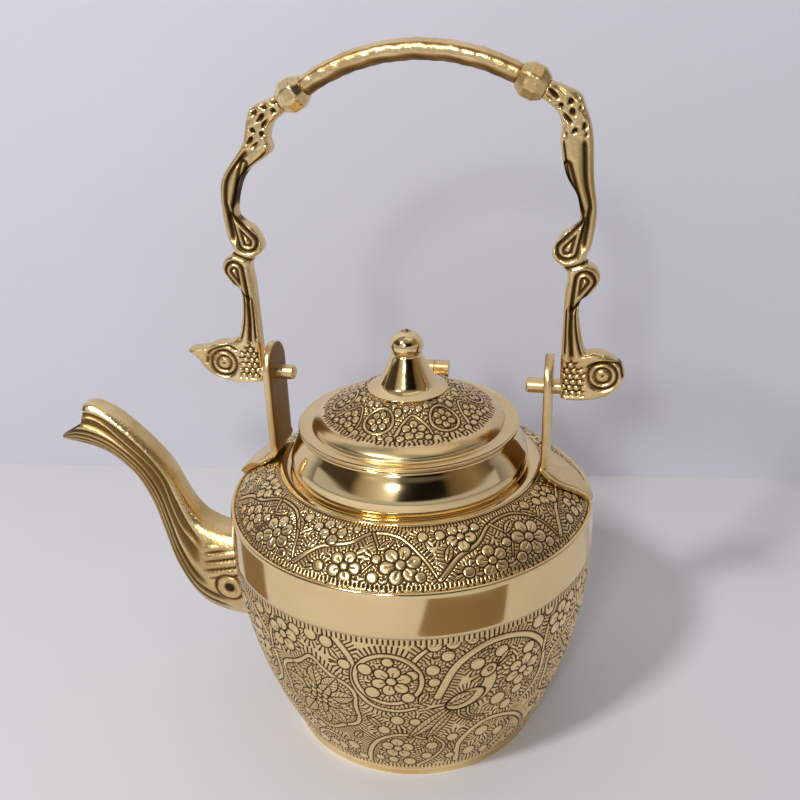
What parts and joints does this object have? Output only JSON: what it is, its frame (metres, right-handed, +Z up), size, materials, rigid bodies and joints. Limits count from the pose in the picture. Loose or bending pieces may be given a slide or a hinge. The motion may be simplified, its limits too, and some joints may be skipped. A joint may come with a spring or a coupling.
{
  "type": "teapot with swing handle",
  "caption": "Squat engraved brass pot with a curved spout, a hinged domed lid with a turned knob, and a tall cast handle that swings on two brackets.",
  "frame": {"origin": "centre of the base plate's underside", "axes": "+Z up, the spout points along -X, the lid hinge is at +Y"},
  "size_m": [0.2047, 0.1274, 0.2348],
  "materials": {
    "engraved_brass": "polished with dark patina in the engraved lines",
    "polished_brass": "polished",
    "cast_brass": "cast and hand filed, dark patina in the recesses",
    "plain_brass": "satin with file marks"
  },
  "bodies": {
    "pot": {"base_plate": "plain_brass", "body_bowl": "engraved_brass", "shoulder_plate": "engraved_brass", "neck_ring": "polished_brass", "neck_collar": "polished_brass", "spout": "cast_brass", "bracket_spout_side": "plain_brass", "bracket_rear": "plain_brass", "hinge_neck_leaf": "plain_brass", "hinge_pin": "plain_brass"},
    "lid": {"lid_dome": "engraved_brass", "lid_skirt": "plain_brass", "finial": "polished_brass", "finial_stud": "plain_brass", "finial_washer": "plain_brass", "finial_nut": "plain_brass", "hinge_lid_leaf": "plain_brass"},
    "handle": {"handle_arm_spout_side": "cast_brass", "handle_arm_rear": "cast_brass", "grip_bar": "cast_brass", "grip_collar_spout_side": "cast_brass", "grip_collar_rear": "cast_brass", "pivot_pin_spout_side": "plain_brass", "pivot_pin_rear": "plain_brass"}
  },
  "joints": [
    {"name": "handle_swing", "type": "hinge", "parent": "pot", "child": "handle", "pos_m": [0, 0, 0.1289], "axis": [1, 0, 0], "range_deg": [-130, 130]},
    {"name": "lid_hinge", "type": "hinge", "parent": "pot", "child": "lid", "pos_m": [0, 0.0396, 0.1169], "axis": [-1, 0, 0], "range_deg": [0, 105]}
  ]
}
